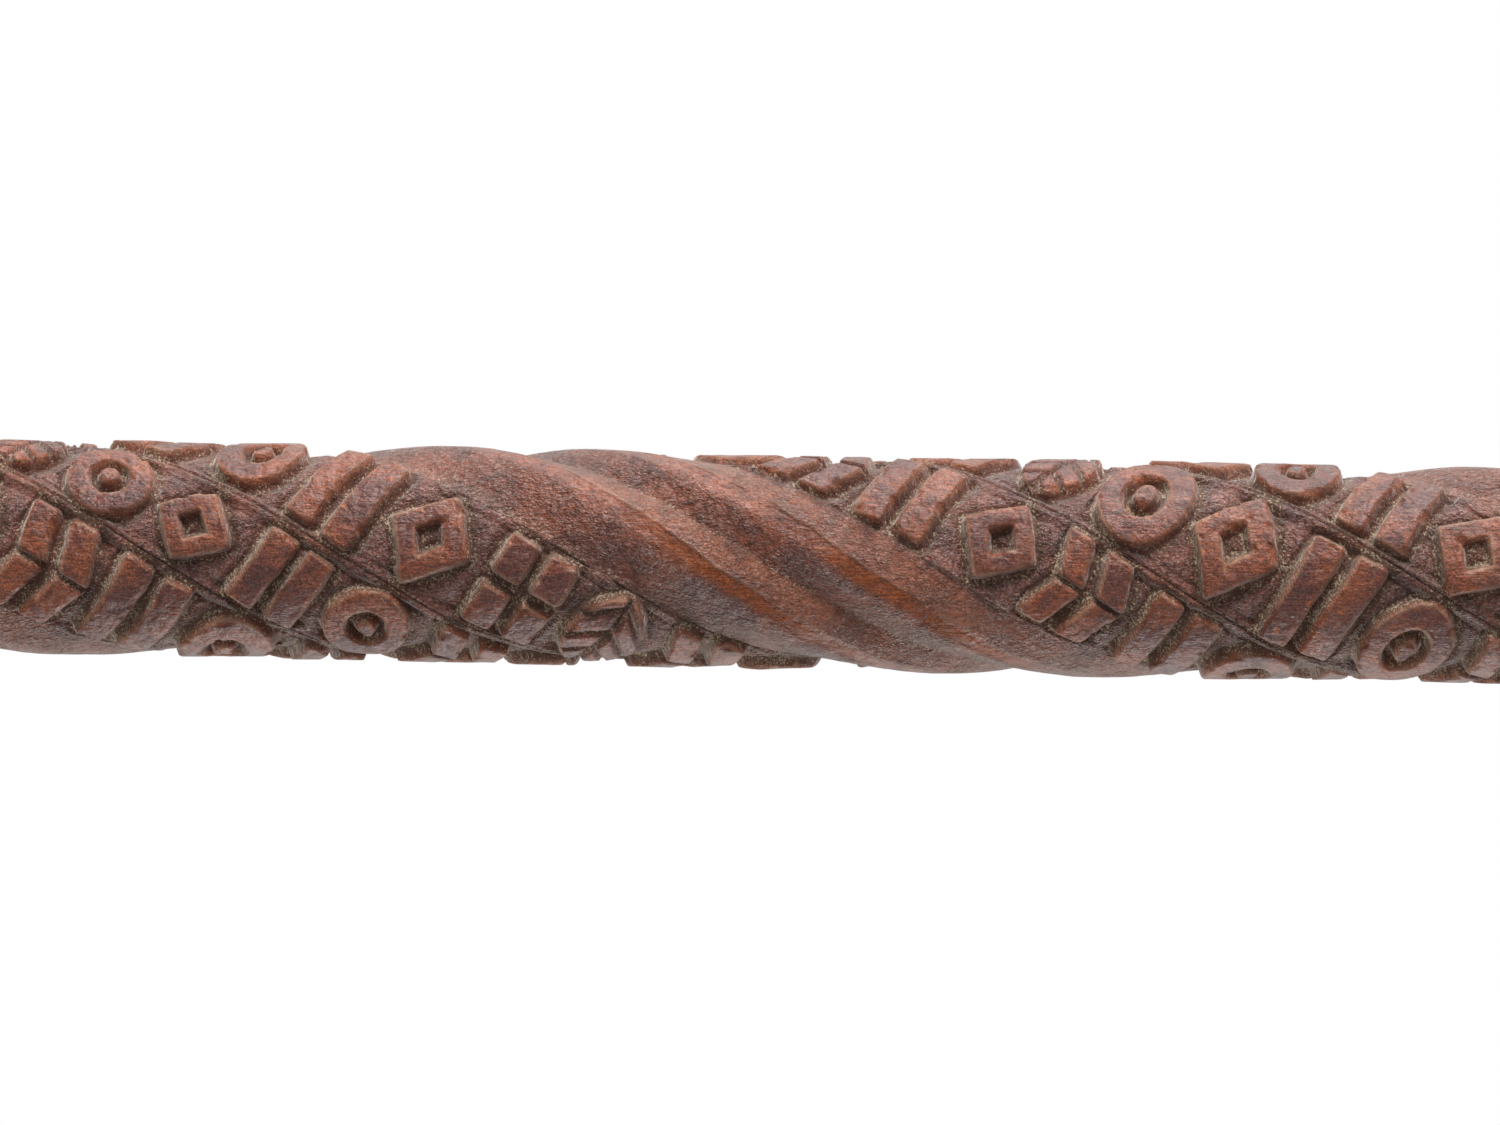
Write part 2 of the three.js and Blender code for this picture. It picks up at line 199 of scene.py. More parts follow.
# Where a strand is worn: a strip up to its crest, and the face beyond it. The strips are rubbed in
# patches, and painted strongest on two sides of the stick and weaker toward the lamps, as painted light.
strip_width, strip_lead, strip_fade, crest_fade = 2.6, 0.7, 2.0, 0.8
face_width, face_start, face_fade = 4.5, 0.4, 1.5
crest_rim_place, crest_rim_half = 0.1, 0.45
groove_half = 0.8
near_foot, far_foot = 1.2, 1.0
# Painted highlights: a pale line along each crest, partly its worn edge, and a lighter tint on the faces
# beyond the crests and at the band's feet
crest_highlight, crest_highlight_share, face_highlight = 0.6, 0.7, 0.12
band_relief, strip_relief = 0.7, 0.1
# The band's groove and feet get dust, and dirt with painted shade
groove_dust, band_foot_dust, groove_dirt_and_shade, band_foot_dirt_and_shade = 0.4, 0.3, 0.3, 0.1
# The faces beyond the crests get the rubbed colour too, as painted light that makes them lighter
face_painted_light, band_crazed, face_crazed = 0.35, 0.85, -0.25
strongest_strip_side = -1.1
wear_from, wear_fade = 0.6, 1 / 3
wear_least = 0.3
wear_patchiness = 0.25


def swell(part):
    """A strand's depth as a share, from its foot at 0 to its top at 1."""
    return ((1 - part) ** swell_power + 1 - smooth(part)) / 2


def band_depths():
    """The band's section: places across it in millimetres, and how deep each lies."""
    share = np.linspace(0, 1, section_places)
    stops = [0, first_top_share, first_crest_share, groove_share, second_top_share, second_crest_share, 1]
    parts = [np.clip((share - a) / (b - a), 0, 1) for a, b in zip(stops, stops[1:])]
    first_swell, first_top, to_groove, second_swell, second_top, far_face = parts
    depth = relief_depth * swell(first_swell) + crest_drop * first_top**2
    depth = depth + (groove_depth - crest_drop) * to_groove
    depth = depth - groove_depth * (1 - swell(second_swell)) + crest_drop * second_top**2
    depth = depth + (relief_depth - far_rise - crest_drop) * far_face
    place = share * band_width
    reach = np.linspace(-3, 3, 25)
    weight = np.exp(-(reach**2))
    worn = sum(w * np.interp(place + r * crest_round, place, depth) for r, w in zip(reach, weight))
    return place, worn / weight.sum()


band_places, band_depth = band_depths()

# The raised motifs. Each takes places from the middle of its cell, along the row and across it, and
# gives how far inside its outline each lies, and how deep its top is cut there.
corner_round = 0.45
bar_place, bar_width, bar_length = 3.2, 4.2, 13.9
stud_length = 5.9
ring_half = (5.9, 7.0)
ring_hole_share, boss_share = 0.5, 0.22
lozenge_half = (5.9, 7.1)
eye_half = (2.5, 3.2)
leaf_half = (4.9, 7.3)
midrib_half, midrib_depth = 0.6, 1.1
vein_spacing, vein_slant, vein_half, vein_depth = 3.9, 0.8, 0.5, 0.9
arm_place, arm_width, arm_slant, arm_reach = 3.1, 3.6, 0.3, 7.0


def beside(x, y, a, b):
    """How far each place lies to the left of the line from a to b."""
    run, rise = b[0] - a[0], b[1] - a[1]
    return (run * (y - a[1]) - rise * (x - a[0])) / math.hypot(run, rise)


def both(a, b):
    """Inside two outlines at once, with their corner rounded."""
    corner = (a < corner_round) & (b < corner_round)
    return np.where(corner, corner_round - np.hypot(corner_round - a, corner_round - b), np.minimum(a, b))


def bars(x, y):
    """Two bars square to the row."""
    aside = np.abs(np.abs(x) - bar_place)
    return both(bar_width / 2 - aside, bar_length / 2 - np.abs(y)), 0 * x


def studs(x, y):
    """Four blocks, two by two."""
    inside, cut = bars(x, y)
    end = bar_length / 2 - stud_length
    return both(inside, np.abs(y) - end), cut


def ring(x, y):
    """A long ring round a boss."""
    half, reach = ring_half
    out = np.hypot(x / half, y / reach)
    mean = (half + reach) / 2
    band = np.minimum(1 - out, out - ring_hole_share) * mean
    return np.maximum(band, (boss_share - out) * mean), 0 * x


def lozenge(x, y):
    """A lozenge pierced by a sharp eye."""
    ax, ay = np.abs(x), np.abs(y)
    eye = beside(ax, ay, (eye_half[0], 0), (0, eye_half[1]))
    ax, ay = np.hypot(x, corner_round), np.hypot(y, corner_round)
    outside = beside(ax, ay, (lozenge_half[0], 0), (0, lozenge_half[1])) + corner_round / 3
    return np.minimum(outside, -eye), 0 * x


def leaf(x, y):
    """A pointed leaf across the row, with a cut midrib and slanting veins."""
    half, reach = leaf_half
    bend = (half**2 + reach**2) / (2 * half)
    inside = bend - np.hypot(np.abs(x) + bend - half, y)
    midrib = midrib_depth * np.clip(1 - np.abs(x) / midrib_half, 0, 1)
    place = (y + vein_slant * np.abs(x)) / vein_spacing + 0.5
    from_vein = (place - np.round(place)) * vein_spacing / math.hypot(1, vein_slant)
    veins = vein_depth * np.clip(1 - np.abs(from_vein) / vein_half, 0, 1)
    return inside, np.maximum(midrib, veins)


def herringbone(x, y):
    """Two chevrons along the row, each with a cut down its middle."""
    ay = np.abs(y)
    aside = np.abs(np.abs(x - arm_slant * (arm_reach / 2 - ay)) - arm_place)
    inside = both(arm_width / 2 - aside / math.hypot(1, arm_slant), arm_reach - ay)
    return inside, midrib_depth * np.clip(1 - ay / midrib_half, 0, 1)


MOTIFS = {
    "bars": bars,
    "studs": studs,
    "ring": ring,
    "lozenge": lozenge,
    "leaf": leaf,
    "herringbone": herringbone,
}

# Hand work: how far each motif strays, and how walls, tops and ground come out
HAND_SEED = 7
HAND_COUNT = 97
stray_along, stray_across, stray_turn, stray_size = 0.4, 0.3, math.radians(5), 0.06
motif_size = 0.92
FAR_OUTSIDE = -9.0
waver, outline_fray = 0.34, 0.05
top_least, top_drop, top_tilt, top_ripple = 0.04, 0.2, 0.045, 0.11
wall_run, wall_change, wall_roundness = 0.66, 0.3, 0.2
edge_round, edge_drop = 0.22, 0.1
chip_rate, chip_spread, chip_reach, edge_chip = 0.37, 0.25, 0.8, 0.55
ground_swell, ground_swell_run = 0.45, 2.6
gouge_depth, scoop_depth = 0.13, 0.14

# How far the marks of dust, wear, pale rims with painted highlight, and dirt with painted shade reach
# from a motif's outline
rim_place, rim_half, rim_share = 0.1, 0.3, 0.6
worn_reach, crazed_reach = 0.5, 1.2
foot_reach, dirt_and_shade_reach, dirt_and_shade_gain = 1.8, 1.7, 1.7

# How deep a cut in a top has to be before it counts in full as a dusty wall, and as off the top
cut_wall_depth, off_relief_depth, off_wear_depth, off_rim_depth = 0.35, 0.6, 0.3, 0.2

# How strongly walls, their feet, cuts, lines, tops and chips show in the marks. The dirt in cuts and
# lines is partly painted shade.
wall_dust, foot_dust, cut_dust, line_dust = 0.8, 0.8, 0.6, 0.4
cut_dirt_and_shade, line_dirt_and_shade, ditch_line = 0.8, 0.6, 0.6
top_wear, chip_wear = 0.6, 0.6
rib_relief = 0.7

# The borders between rows wander from their helix, by shares of a turn over this length
wander_length = 386
wander_start = 520
wander_shares = [0, 0.0204, -0.0175, 0]

# A low rib stands on each border between rows, with an incised line along it and a ditch beside it
rib_half, rib_rise, rib_change, rib_steepness = 1.25, 1.2, 0.38, 1.8
line_place, line_half, line_depth = 0.2, 0.2, 0.45
ditch_place, ditch_half, ditch_depth = 1.6, 0.5, 0.3


def hand(cell, row, column):
    """A settled chance value from -1 to 1 for each motif."""
    table = np.random.default_rng(HAND_SEED).uniform(-1, 1, (HAND_COUNT, 6))
    return table[(cell * len(row_motifs) + row) % HAND_COUNT, column]


def lean(phase):
    """How many cells the cross line of the lattice has climbed at a phase."""
    falling = (rows_lean - seam_cells) * (1 - phase / band_share)
    return np.where(phase > band_share, square_lean * (phase - band_share), falling)


def border(index, z):
    """The phase of a border between rows, or of the plain band's edge, at a height."""
    turn = 2 * math.pi * (z - wander_start) / wander_length
    return band_share + index * row_share + wander_shares[index] * np.cos(turn)


def carve_motifs(row, along, across, spots):
    """How far inside its motif each place of one row lies, its top's cut, and its tilt."""
    cell = np.floor(along).astype(int)
    x = (along - cell - 0.5) * cell_length - stray_along * hand(cell, row, 0)
    y = (across - 0.5) * row_width - stray_across * hand(cell, row, 1)
    turn = stray_turn * hand(cell, row, 2)
    size = 1 / motif_size + stray_size * hand(cell, row, 3)
    x, y = x * size + y * turn, y * size - x * turn
    x = x + waver * noise(spots, WAVER_ALONG)
    y = y + waver * noise(spots, WAVER_ACROSS)
    inside = np.full(x.shape, FAR_OUTSIDE)
    cut = np.zeros(x.shape)
    names = row_motifs[row]
    for index, name in enumerate(names):
        mine = cell % len(names) == index
        inside[mine], cut[mine] = MOTIFS[name](x[mine], y[mine])
    tilt = top_tilt * (x * hand(cell, row, 4) + y * hand(cell, row, 5))
    return inside, cut, np.clip(tilt + top_drop * np.abs(hand(cell, row, 5)), 0, None)


def carve_row(row, along, across, width, spots):
    """Depth and marks of the places in one row."""
    inside, cut, tilt = carve_motifs(row, along, across, spots)
    inside = inside + outline_fray * noise(spots, FRAYED_OUTLINE)
    run = wall_run * (1 + wall_change * noise(spots, WALL_SLOPE))
    raised = np.clip(1 + inside / run, 0, 1)
    raised = (1 - wall_roundness) * raised + wall_roundness * smooth(raised)
    away = np.clip(-inside - run, 0, None)
    ground = relief_depth - ground_swell * smooth(away / ground_swell_run)
    gouges = gouge_depth * noise(spots, GOUGES) + scoop_depth * np.abs(noise(spots, SCOOPS))
    ground = ground + gouges - far_rise * smooth(1 - across * width / far_rise_reach) * (row == 0)
    near_edge = np.clip(1 - inside / edge_round, 0, 1) ** 2
    chips = smooth((noise(spots, CHIPS) - chip_rate) / chip_spread) * smooth(1 - inside / chip_reach)
    top = top_least + tilt + cut + edge_drop * near_edge + edge_chip * chips
    top = top + top_ripple * np.abs(noise(spots, TOP_RIPPLE))
    depth = np.minimum(top, ground) * raised + ground * (1 - raised)
    depth, lined, ribbed = add_border(row, across, width, depth, spots)
    wall = 1 - np.abs(2 * raised - 1)
    foot = (1 - raised) * smooth(1 - away / foot_reach)
    cut_wall = smooth(cut / cut_wall_depth) * raised
    dust = [wall_dust * wall, foot_dust * foot, cut_dust * cut_wall, line_dust * lined]
    worn = top_wear * raised * smooth(1 - inside / worn_reach) * smooth(1 - cut / off_wear_depth)
    # Painted highlight, partly a worn edge: a pale line along each motif's outline
    rim = bump((inside - rim_place) / rim_half) * smooth(1 - cut / off_rim_depth)
    # Painted shade, with dirt: the ground is darkened near the feet of walls, where shade falls
    dirt_and_shade = np.clip(dirt_and_shade_gain * (1 - raised), 0, 1) * smooth(1 - away / dirt_and_shade_reach)
    return depth, {
        "rim": rim * smooth(rim_share + noise(spots, RIM_BREAKS)),
        "relief": np.maximum(raised * smooth(1 - cut / off_relief_depth), rib_relief * ribbed),
        "dust": np.clip(np.maximum.reduce(dust), 0, 1),
        "worn": np.clip(worn + chip_wear * chips * raised, 0, 1),
        "crazed": (1 - raised) * smooth(away / crazed_reach),
        "shade": np.clip(dirt_and_shade + cut_dirt_and_shade * cut_wall + line_dirt_and_shade * lined, 0, 1),
    }


def add_border(row, across, width, depth, spots):
    """Lays the ribs along a row's borders over its carving, and tells where lines and ribs are."""
    low_side = across < 0.5
    place = np.where(low_side, across, 1 - across) * width
    to_band = np.where(low_side, row == 0, row == len(row_motifs) - 1)
    standing = rib_rise * (1 - rib_change + rib_change * noise(spots, RIB_HEIGHT)) * ~to_band
    body = smooth((rib_half - place) / rib_half * rib_steepness)
    rib = relief_depth - standing * body
    ribbed = body * (rib < depth) * ~to_band
    depth = np.where(place < rib_half, np.minimum(depth, rib), depth)
    line = line_depth * bump((place - line_place) / line_half) * (low_side ^ to_band)
    ditch = bump((place - ditch_place) / ditch_half)
    depth = depth + line + ditch_depth * ditch * smooth(depth / relief_depth * 2 - 1)
    return depth, np.maximum(ditch_line * ditch, line / line_depth), ribbed


def wear_faded_toward_light(spots):
    """How much each place shows its rubbed strip: in patches, and painted strongest on two sides of the
    stick, the camera's and the back, and weakest toward the lamps, as painted light.
    """
    facing = np.abs(np.cos(np.arctan2(spots[..., 1], spots[..., 0]) - strongest_strip_side))
    patches = wear_patchiness * noise(spots, WEAR_PATCHES)
    rubbed = smooth((facing - wear_from) / wear_fade + patches)
    return wear_least + (1 - wear_least) * rubbed


def carve_band(phase, z, spots):
    """Depth and marks of the places in the plain band."""
    lag = band_lag * (0.5 + 0.5 * np.cos(2 * math.pi * (z - band_lag_height) / lead)) ** 2
    place = phase * phase_width - lag + band_wander * noise(spots, BAND_WANDER)
    depth = np.interp(place, band_places, band_depth)
    depth = depth + facet_depth * noise(spots * facet_stretch, BAND_FACETS)
    depth = depth + band_roughness * noise(spots, BAND_ROUGHNESS)
    crests = [share * band_width for share in (first_crest_share, second_crest_share)]
    past = [place - c + crest_wander * noise(spots, CREST_WANDER) for c in crests]
    strip = sum(
        smooth((d + strip_width + strip_lead) / strip_fade) * smooth(0.5 - d / crest_fade) for d in past
    )
    beyond = sum(smooth(d / face_start) * smooth((face_width - d) / face_fade) for d in past)
    groove = bump((place - groove_share * band_width) / groove_half)
    foot = smooth(1 - place / near_foot) + smooth(1 - (band_width - place) / far_foot)
    # Painted highlight along each crest, partly its worn edge, and painted light on the faces beyond and
    # the feet
    rim = sum(bump((d - crest_rim_place) / crest_rim_half) for d in past)
    rim = crest_highlight * rim * smooth(crest_highlight_share + noise(spots, CREST_RIM_BREAKS))
    return depth, {
        "rim": rim + face_highlight * (beyond + foot),
        "relief": band_relief + strip_relief * np.clip(strip, 0, 1),
        "dust": np.clip(groove_dust * groove + band_foot_dust * foot, 0, 1),
        "worn": np.clip(strip * wear_faded_toward_light(spots) + face_painted_light * beyond, 0, 1),
        "crazed": np.clip(band_crazed * (1 - strip) + face_crazed * beyond, 0, 1),
        "shade": np.clip(groove_dirt_and_shade * groove + band_foot_dirt_and_shade * foot, 0, 1),
    }


# Marks on the carved mesh that its material reads, from 0 to 1
MARKS = ("relief", "dust", "worn", "crazed", "shade", "rim")

# Dust and pale rims are painted stronger on the sides that face the foot, and less on those that face the
# knob: partly real dust and wear, partly painted light on the side that stands for the lit one
dust_far_share = 0.3
rim_far_share = 0.4


def carve(phase, z):
    """The radius and the marks of the carved stretch, for rings at heights and columns at phases."""
    phase, z = np.broadcast_arrays(phase[None, :], z[:, None])
    angle = column_angle(phase, z)
    radius = outer_radius(z)
    spots = np.stack([radius * np.cos(angle), radius * np.sin(angle), z], axis=-1)
    along = (z - twist_datum_height) / cell_rise - lean(phase)
    depth = np.zeros(z.shape)
    marks = {name: np.zeros(z.shape) for name in MARKS}

    def keep(mine, result):
        depth[mine] = result[0]
        for name in MARKS:
            marks[name][mine] = result[1][name]

    on_band = phase < band_share
    keep(on_band, carve_band(phase[on_band], z[on_band], spots[on_band]))
    for row in range(len(row_motifs)):
        low, high = border(row, z), border(row + 1, z)
        mine = (phase >= low) & (phase < high)
        low, high = low[mine], high[mine]
        across = (phase[mine] - low) / (high - low)
        width = (high - low) * phase_width
        keep(mine, carve_row(row, along[mine], across, width, spots[mine]))
    climb = -np.gradient(depth, axis=0) / np.gradient(z, axis=0)
    # Painted light: dust and pale rims are laid thicker on the sides facing the foot
    painted_lit_side = smooth(0.5 + climb)
    marks["dust"] *= dust_far_share + (1 - dust_far_share) * painted_lit_side
    marks["rim"] *= rim_far_share + (1 - rim_far_share) * painted_lit_side
    return radius - np.clip(depth, 0, None), marks


def column_angle(phase, z):
    """The mesh's columns follow the twist, so that crests and ribs run along them."""
    return 2 * math.pi * ((z - twist_datum_height) / lead - phase) - math.pi / 2


def plain_stretch(z, radius, phase, **values):
    """A turned stretch of the shaft, from heights and radii, with the same marks all over."""
    z, radius = np.asarray(z, float), np.asarray(radius, float)
    shape = (len(z), len(phase))
    marks = {name: np.full(shape, float(values.get(name, 0))) for name in MARKS}
    return z, np.broadcast_to(radius[:, None], shape), marks


def end_bead(bottom, land_at, phase):
    """A turned half-round bead at an end of the carving."""
    angle = np.linspace(-QUARTER, QUARTER, bead_rings)
    base = outer_radius(land_at) + end_bead_land
    z = bottom + end_bead_width / 2 * (1 + np.sin(angle))
    return plain_stretch(z, base + end_bead_rise * np.cos(angle), phase, relief=1, worn=end_bead_wear)


def ferrule_inner_radius(z):
    """The tapered tube's bore at a height."""
    tip, mouth = ferrule_tip_d / 2, shaft_foot_d / 2 + ferrule_stand
    return tip + (mouth - tip) * (z - heel_flange) / (ferrule_top - heel_flange) - ferrule_wall


def carved_heights():
    """Heights of the carved mesh's rings, closer together where the photograph looks."""
    stretches = [
        (carving_start, fine_from, coarse_step),
        (fine_from, fine_to, fine_step),
        (fine_to, carving_end, coarse_step),
    ]
    runs = [np.linspace(a, b, round((b - a) / step), endpoint=False) for a, b, step in stretches]
    return np.append(np.concatenate(runs), carving_end)


def shaft_stretches(phase):
    """The shaft from its tenon to its rebate, as heights, radii and marks."""
    shoulder = ferrule_top + fit_gap
    tenon = [tenon_bottom, shoulder]
    tenon_radius = [ferrule_inner_radius(z) - fit_gap for z in tenon]
    foot = np.linspace(shoulder + foot_chamfer, carving_start - end_bead_width, foot_rings)
    chamfer = outer_radius(shoulder) - foot_chamfer / 2
    neck_end = collar_bottom - fit_gap
    neck = np.linspace(carving_end + end_bead_width, neck_end, neck_rings)
    rebate = collar_inner_radius - fit_gap
    z = carved_heights()
    return [
        plain_stretch(tenon, tenon_radius, phase, relief=bare_relief),
        plain_stretch([shoulder, *foot], [chamfer, *outer_radius(foot)], phase, relief=1),
        end_bead(carving_start - end_bead_width, carving_start, phase),
        (z, *carve(phase, z)),
        end_bead(carving_end, carving_end, phase),
        plain_stretch(neck, outer_radius(neck), phase, relief=1),
        plain_stretch([neck_end, joint_height], [rebate, rebate], phase, relief=bare_relief),
    ]


# The marks of a hand plane on the plain stretches
plane_depth, plane_fade, plane_stretch = 0.07, 4, (1, 1, 0.12)

# The shaft's bake map: strips one over another, each with a margin. The hidden end faces lie in it.
BAKE_STRIPS = 3
BAKE_MARGIN = 0.01
BAKE_CAP_RADIUS = 0.003


def skin_places(radius, angle, z):
    """Places on the shaft, in rings at heights."""
    radius, height = np.broadcast_to(radius, angle.shape), np.broadcast_to(z[:, None], angle.shape)
    return np.stack([radius * np.cos(angle), radius * np.sin(angle), height], axis=-1)


def carved_shaft():
    """The shaft's mesh: one closed skin of rings and columns."""
    phase = np.arange(columns) / columns
    stretches = shaft_stretches(phase)
    z = np.concatenate([s[0] for s in stretches])
    radius = np.concatenate([s[1] for s in stretches])
    angle = column_angle(phase[None, :], z[:, None])
    radius = radius + plane_waver(angle, z)
    places = skin_places(radius, angle, z)
    rings = len(z)
    ring, column = np.meshgrid(np.arange(rings - 1), np.arange(columns), indexing="ij")
    after = (column + 1) % columns
    quads = np.stack(
        [
            ring * columns + after,
            ring * columns + column,
            (ring + 1) * columns + column,
            (ring + 1) * columns + after,
        ],
        axis=-1,
    ).reshape(-1, 4)
    lower_cap = np.arange(columns)
    upper_cap = (rings - 1) * columns + np.arange(columns)[::-1]
    mesh = mesh_of("shaft_carved", places.reshape(-1, 3), quads, [lower_cap, upper_cap])
    for name in MARKS:
        values = np.concatenate([s[2][name] for s in stretches]).ravel()
        mesh.attributes.new(name, "FLOAT", "POINT").data.foreach_set("value", values.astype(np.float32))
    add_bake_map(mesh, ring, column, z)
    return bpy.data.objects.new("shaft_carved", mesh)


def plane_waver(angle, z):
    """The slight unevenness that hand tools leave on the plain stretches, inward only."""
    spots = skin_places(outer_radius(z)[:, None], angle, z)
    below, above = carving_start - end_bead_width - z, z - carving_end
    plain = smooth(below / plane_fade) + smooth(above / plane_fade)
    return -plane_depth * (1 + noise(spots * plane_stretch, PLANE_MARKS)) * plain[:, None]


def add_bake_map(mesh, ring, column, z):
    """Lays the skin out in strips, each a part of the shaft's length."""
    rings = len(z)
    per_strip = math.ceil((rings - 1) / BAKE_STRIPS)
    strip = ring // per_strip
    start = z[strip * per_strip]
    end = z[np.minimum((strip + 1) * per_strip, rings - 1)]
    span = 1 - 2 * BAKE_MARGIN

    def spot(at_ring, at_column):
        u = BAKE_MARGIN + span * (z[at_ring] - start) / (end - start)
        v = (strip + BAKE_MARGIN + span * at_column / columns) / BAKE_STRIPS
        return np.stack([u, v], axis=-1)

    corners = [
        spot(ring, column + 1),
        spot(ring, column),
        spot(ring + 1, column),
        spot(ring + 1, column + 1),
    ]
    quads = np.stack(corners, axis=2).reshape(-1, 2)
    turn = np.linspace(0, 2 * math.pi, columns, endpoint=False)
    middle = (0.5, BAKE_MARGIN / BAKE_STRIPS / 2)
    cap = middle + BAKE_CAP_RADIUS * np.stack([np.cos(turn), np.sin(turn)], axis=-1)
    uv = np.concatenate([quads, cap, cap]).astype(np.float32)
    layer = mesh.uv_layers.new(name="OFBake")
    layer.data.foreach_set("uv", uv.ravel())


def mesh_of(name, places, quads, caps=()):
    """A mesh from places in millimetres, four-cornered faces and a few larger ones."""
    mesh = bpy.data.meshes.new(name)
    mesh.vertices.add(len(places))
    mesh.vertices.foreach_set("co", (places * MM).astype(np.float32).ravel())
    corners = np.concatenate([quads.ravel(), *caps]).astype(np.int32)
    mesh.loops.add(len(corners))
    mesh.loops.foreach_set("vertex_index", corners)
    sizes = np.array([4] * len(quads) + [len(cap) for cap in caps], np.int32)
    starts = np.concatenate([[0], np.cumsum(sizes)[:-1]]).astype(np.int32)
    mesh.polygons.add(len(sizes))
    mesh.polygons.foreach_set("loop_start", starts)
    mesh.polygons.foreach_set("use_smooth", np.ones(len(sizes), bool))
    mesh.update(calc_edges=True)
    mesh.validate()
    return mesh


# Fittings, as in the solids
knob_neck_d = 25
knob_bead_d = 31
knob_bead_width = 4
knob_bead_rise = 1.3
knob_neck_length = 2.7
knob_swell_length = 25
knob_crown_length = 25
knob_top_flat_d = 14
collar_stand = 0.65
collar_wall = 1
collar_bead_r = 0.7
collar_outer_radius = shaft_top_d / 2 + collar_stand
collar_inner_radius = collar_outer_radius - collar_wall
ferrule_tip_d = 18
ferrule_stand = 0.4
ferrule_wall = 0.9
ferrule_bead_r = 0.7
heel_edge_round = 0.6
pin_head_d = 2.8
pin_head_height = 0.7
pin_dome = 0.97 * QUARTER

# Fineness of the turned pieces
lathe_steps, pin_steps, floor_steps = 96, 32, 128
arc_steps = 12
knob_rings = 28
SHARP = math.radians(35)


def lathe(name, profile, steps=lathe_steps, hollow=False):
    """A turned piece from pairs of radius and height up its outside. Its ends are on the axis, or
    meet where it is hollow."""
    radius, height = np.array(profile, float).T
    turn = np.arange(steps) * 2 * math.pi / steps
    places = np.stack(
        [
            radius[:, None] * np.cos(turn),
            radius[:, None] * np.sin(turn),
            np.broadcast_to(height[:, None], (len(radius), steps)),
        ],
        axis=-1,
    )
    rings = len(profile)
    joins = rings if hollow else rings - 1
    ring, column = np.meshgrid(np.arange(joins), np.arange(steps), indexing="ij")
    after, above = (column + 1) % steps, (ring + 1) % rings
    quads = [ring * steps + column, ring * steps + after, above * steps + after, above * steps + column]
    quads = np.stack(quads, axis=-1).reshape(-1, 4)
    caps = [] if hollow else [np.arange(steps)[::-1], (rings - 1) * steps + np.arange(steps)]
    mesh = mesh_of(name, places.reshape(-1, 3), quads, caps)
    mesh.set_sharp_from_angle(angle=SHARP)
    return bpy.data.objects.new(name, mesh)


def arc(centre_r, centre_z, radius, start, end, rise=None, steps=arc_steps):
    """Pairs of radius and height along an arc, or along part of an ellipse with its own rise."""
    rise = radius if rise is None else rise
    angles = np.linspace(start, end, steps + 1)
    return [(centre_r + rise * math.cos(a), centre_z + radius * math.sin(a)) for a in angles]


def turned_handle():
    """The knob: a rebate inside the collar, a bead, a narrow neck and a round head."""
    bead_z = collar_top + fit_gap + knob_bead_width / 2
    neck_z = bead_z + knob_bead_width / 2 + knob_neck_length
    widest_z = neck_z + knob_swell_length
    shares = np.linspace(0, 1, knob_rings)[1:-1]
    out = (1 - np.cos(math.pi * shares)) / 2
    swell_r = (knob_neck_d + (knob_d - knob_neck_d) * out) / 2
    crown_start = math.acos(knob_top_flat_d / knob_d)
    crown_rise = knob_crown_length / math.sin(crown_start)
    rebate = collar_inner_radius - fit_gap
    bead_r = knob_bead_d / 2 - knob_bead_rise
    return lathe("handle_turned", [
        (rebate, joint_height),
        (rebate, collar_top + fit_gap),
        *arc(bead_r, bead_z, knob_bead_width / 2, -QUARTER, QUARTER, knob_bead_rise),
        (knob_neck_d / 2, neck_z),
        *zip(swell_r, neck_z + knob_swell_length * shares),
        *arc(0, widest_z, crown_rise, 0, crown_start, knob_d / 2, knob_rings),
    ])


def tube(name, inner_low, outer_low, low, inner_high, outer_high, high, beads):
    """A tube wall with a bead round one or both of its edges."""
    profile = [(inner_low, low)]
    profile += beads[0] or [(outer_low, low)]
    profile += beads[1] or [(outer_high, high)]
    return lathe(name, profile + [(inner_high, high)], hollow=True)


def turned_collar():
    """The band over the joint, with a bead round each edge."""

    def bead(z):
        return arc(collar_outer_radius, z, collar_bead_r, -QUARTER, QUARTER)

    ends = [bead(collar_bottom + collar_bead_r), bead(collar_top - collar_bead_r)]
    inner, outer = collar_inner_radius, collar_outer_radius
    return tube("collar_tube", inner, outer, collar_bottom, inner, outer, collar_top, ends)


def turned_ferrule():
    """The tapered tube over the foot, with a bead round its mouth."""
    bead_z = ferrule_top - ferrule_bead_r
    low, high = ferrule_inner_radius(heel_flange), ferrule_inner_radius(ferrule_top)
    bead_base = ferrule_inner_radius(bead_z) + ferrule_wall
    bead = arc(bead_base, bead_z, ferrule_bead_r, -QUARTER, QUARTER)
    return tube(
        "ferrule_tube", low, low + ferrule_wall, heel_flange, high, high + ferrule_wall, ferrule_top,
        [None, bead],
    )


def turned_heel():
    """The heel's flange, worn round at its edge, and the disc inside the ferrule."""
    flange = ferrule_tip_d / 2
    disc = ferrule_inner_radius(heel_flange) - fit_gap
    edge = arc(flange - heel_edge_round, heel_edge_round, heel_edge_round, -QUARTER, 0)
    return lathe("heel_disc", [*edge, (flange, heel_flange), (disc, heel_flange), (disc, tenon_bottom)])


